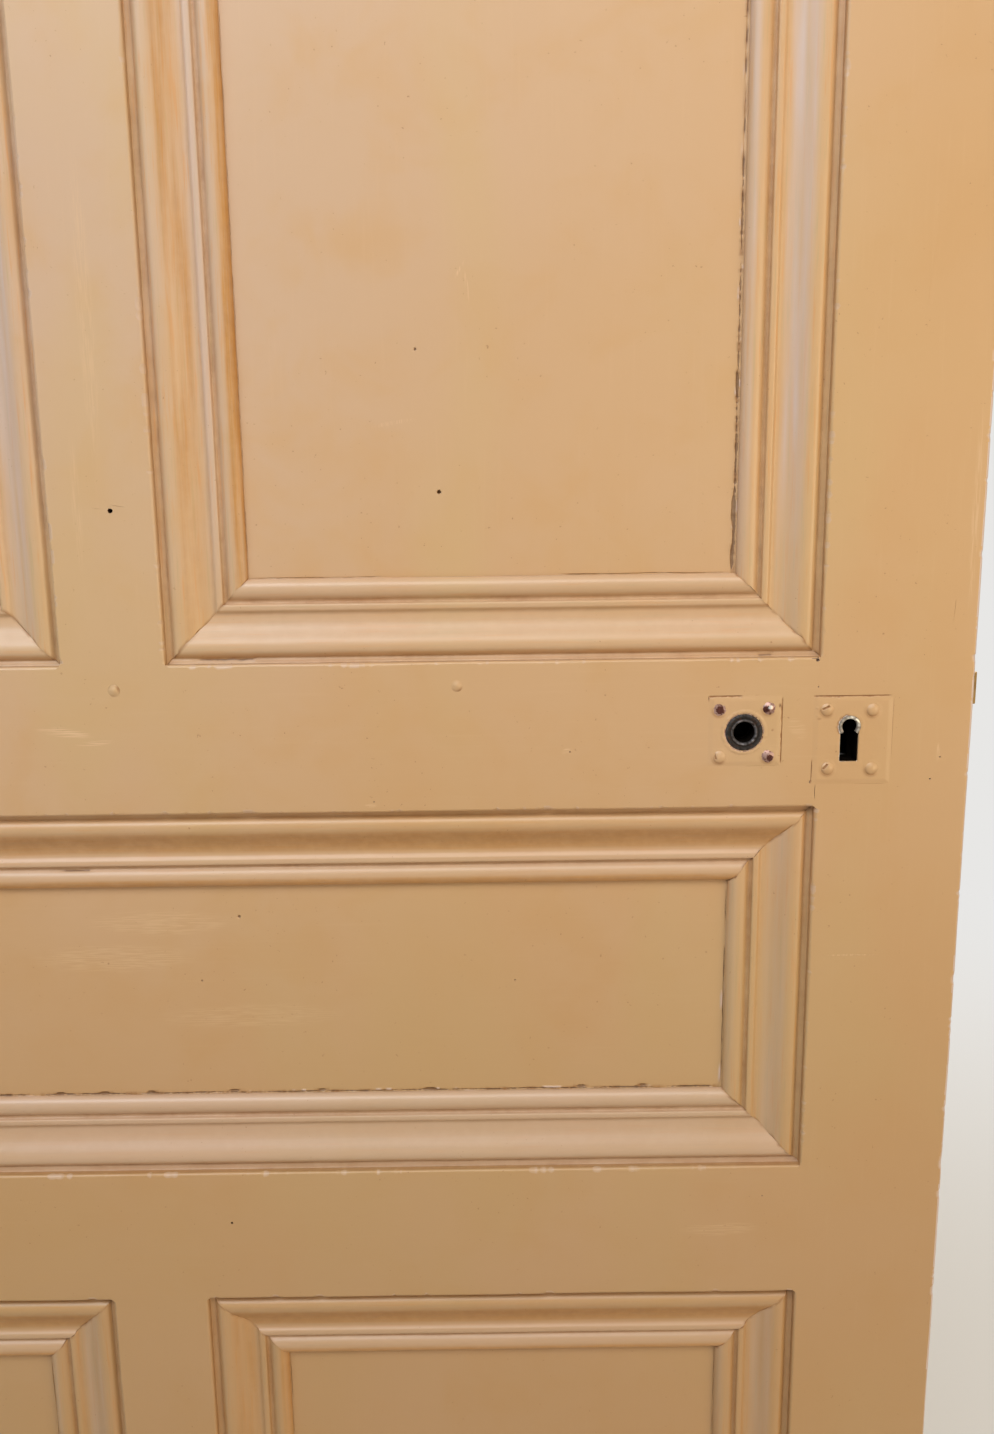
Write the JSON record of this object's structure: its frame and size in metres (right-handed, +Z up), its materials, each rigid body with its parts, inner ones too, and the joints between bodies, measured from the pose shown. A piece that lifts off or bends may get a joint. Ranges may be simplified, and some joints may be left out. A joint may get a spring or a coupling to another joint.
{
  "type": "panelled front door",
  "caption": "Old stile-and-rail front door leaf with mitred panel mouldings, flush lock and key plates, a mortice lock that works and butt hinges.",
  "frame": {"origin": "on the floor of the part's box, under its middle in width and depth", "axes": "+Z up, the moulded face of the picture looks towards -Y, +X to the right across that face"},
  "size_m": [0.9338, 0.0592, 2.08],
  "materials": {
    "painted_wood": "aged satin paint in golden tan",
    "painted_moulding": "aged satin paint in golden tan",
    "bare_wood": "bare softwood end grain",
    "painted_iron": "iron under thick chipped paint",
    "worn_iron": "dark worn iron",
    "lock_iron": "black japanned iron",
    "lock_brass": "dull brass",
    "hinge_iron": "iron painted with the door",
    "bright_steel": "dull steel"
  },
  "bodies": {
    "frame_hinges": {"bottom_hinge_frame_flap": "hinge_iron", "middle_hinge_frame_flap": "hinge_iron", "top_hinge_frame_flap": "hinge_iron", "hinge_pins": "bright_steel"},
    "leaf": {"bolt_spring": "bright_steel", "bottom_hinge_leaf_flap": "hinge_iron", "bottom_rail": "painted_wood", "forend": "lock_brass", "forend_screws": "bright_steel", "hinge_screws": "bright_steel", "hinge_stile": "painted_wood", "key_collar": "bright_steel", "key_plate": "painted_iron", "key_plate_screws": "painted_iron", "knob_bush": "worn_iron", "knob_plate": "painted_iron", "knob_plate_screws": "painted_iron", "latch_spring": "bright_steel", "lock_cap": "lock_iron", "lock_cap_screws": "bright_steel", "lock_case": "lock_iron", "lock_rail": "painted_wood", "lock_stile": "painted_wood", "lower_left_moulding_bottom": "painted_moulding", "lower_left_moulding_left": "painted_moulding", "lower_left_moulding_right": "painted_moulding", "lower_left_moulding_top": "painted_moulding", "lower_left_panel": "painted_wood", "lower_muntin": "painted_wood", "lower_right_moulding_bottom": "painted_moulding", "lower_right_moulding_left": "painted_moulding", "lower_right_moulding_right": "painted_moulding", "lower_right_moulding_top": "painted_moulding", "lower_right_panel": "painted_wood", "middle_hinge_leaf_flap": "hinge_iron", "middle_moulding_bottom": "painted_moulding", "middle_moulding_left": "painted_moulding", "middle_moulding_right": "painted_moulding", "middle_moulding_top": "painted_moulding", "middle_panel": "painted_wood", "middle_rail": "painted_wood", "muntin_peg": "painted_wood", "rail_nail": "painted_iron", "tenon_wedges": "bare_wood", "top_hinge_leaf_flap": "hinge_iron", "top_rail": "painted_wood", "upper_left_moulding_bottom": "painted_moulding", "upper_left_moulding_left": "painted_moulding", "upper_left_moulding_right": "painted_moulding", "upper_left_moulding_top": "painted_moulding", "upper_left_panel": "painted_wood", "upper_muntin": "painted_wood", "upper_right_moulding_bottom": "painted_moulding", "upper_right_moulding_left": "painted_moulding", "upper_right_moulding_right": "painted_moulding", "upper_right_moulding_top": "painted_moulding", "upper_right_panel": "painted_wood"},
    "latch": {"latch_bolt": "lock_brass"},
    "follower": {"follower": "lock_brass"},
    "dead_bolt": {"dead_bolt": "lock_brass"}
  },
  "joints": [
    {"name": "leaf_swing", "type": "hinge", "parent": "frame_hinges", "child": "leaf", "pos_m": [-0.46037, 0.02315, 0], "axis": [0, 0, 1], "range_deg": [0, 170]},
    {"name": "latch_slide", "type": "slide", "parent": "leaf", "child": "latch", "axis": [-1, 0, 0], "range_m": [0, 0.011], "stiffness_N_per_m": 500, "springref_m": -0.006, "deforming": ["latch_spring"]},
    {"name": "follower_turn", "type": "hinge", "parent": "leaf", "child": "follower", "pos_m": [0.33367, -0.00585, 0.9645], "axis": [0, -1, 0], "range_deg": [0, 34.1]},
    {"name": "dead_bolt_slide", "type": "slide", "parent": "leaf", "child": "dead_bolt", "axis": [1, 0, 0], "range_m": [0, 0.0127]}
  ],
  "couplings": [
    {"joint": "follower_turn", "follows": "latch_slide", "rad_per_m": 54.05}
  ]
}
